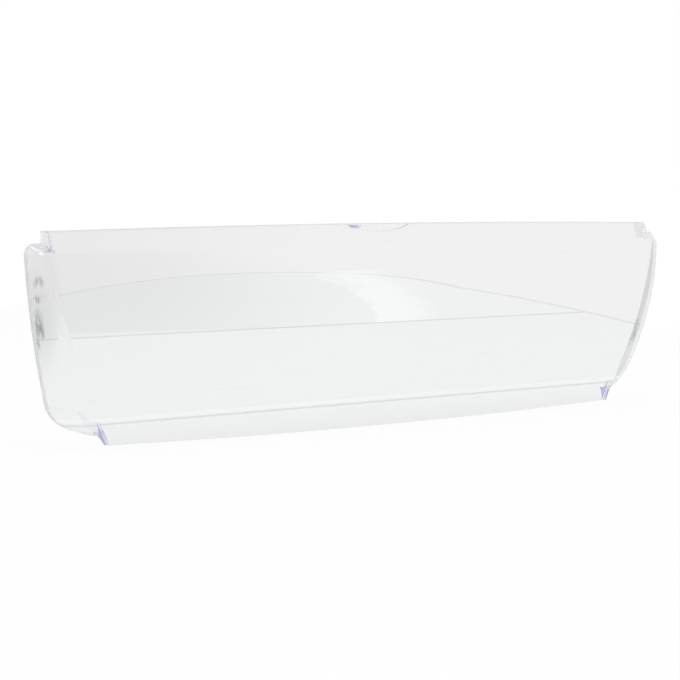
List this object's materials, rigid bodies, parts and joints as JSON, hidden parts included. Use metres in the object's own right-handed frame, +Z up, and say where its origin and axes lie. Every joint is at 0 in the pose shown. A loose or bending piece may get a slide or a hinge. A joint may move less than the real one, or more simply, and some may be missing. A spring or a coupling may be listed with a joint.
{
  "type": "butter compartment lid",
  "caption": "Clear moulded flap for a fridge door's butter shelf: bulged face, flared bowed ends, leaning hinge rail with end ears on top and a pull lip below.",
  "frame": {"origin": "middle of the hinge rail's top edge, level with the tops of the ears", "axes": "+X along the lid to the right as seen from the front, +Y from the face to the open back, +Z up as the closed lid hangs"},
  "size_m": [0.4484, 0.0227, 0.1134],
  "materials": {
    "clear_plastic": "clear moulded polystyrene, polished"
  },
  "bodies": {
    "root": {"lid": "clear_plastic"}
  },
  "joints": []
}
